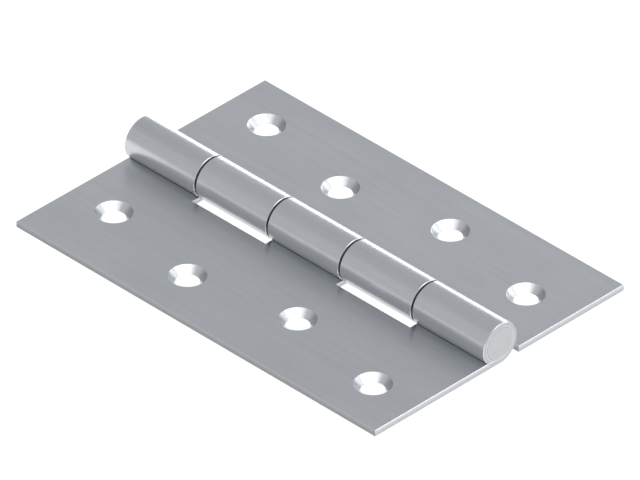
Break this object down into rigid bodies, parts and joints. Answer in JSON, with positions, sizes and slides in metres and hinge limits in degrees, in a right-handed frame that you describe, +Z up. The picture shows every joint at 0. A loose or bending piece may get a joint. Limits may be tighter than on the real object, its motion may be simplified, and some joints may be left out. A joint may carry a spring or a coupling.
{
  "type": "butt hinge",
  "caption": "Flat steel butt hinge: two pressed leaves with rolled knuckles on a riveted pin and staggered countersunk screw holes.",
  "frame": {"origin": "under the middle of the pin, level with the undersides of both leaves when open flat", "axes": "+X across the leaves, from the three-knuckle leaf to the two-knuckle leaf; +Y along the pin; +Z up, the side where the barrel stands proud"},
  "size_m": [0.07, 0.101, 0.0095],
  "materials": {
    "leaf_steel": "satin",
    "pin_steel": "satin"
  },
  "bodies": {
    "fixed_leaf": {"three_knuckle_leaf": "leaf_steel", "hinge_pin": "pin_steel"},
    "swinging_leaf": {"two_knuckle_leaf": "leaf_steel"}
  },
  "joints": [
    {"name": "leaf_swing", "type": "hinge", "parent": "fixed_leaf", "child": "swinging_leaf", "pos_m": [0, 0, 0.00475], "axis": [0, -1, 0], "range_deg": [-94, 190]}
  ]
}
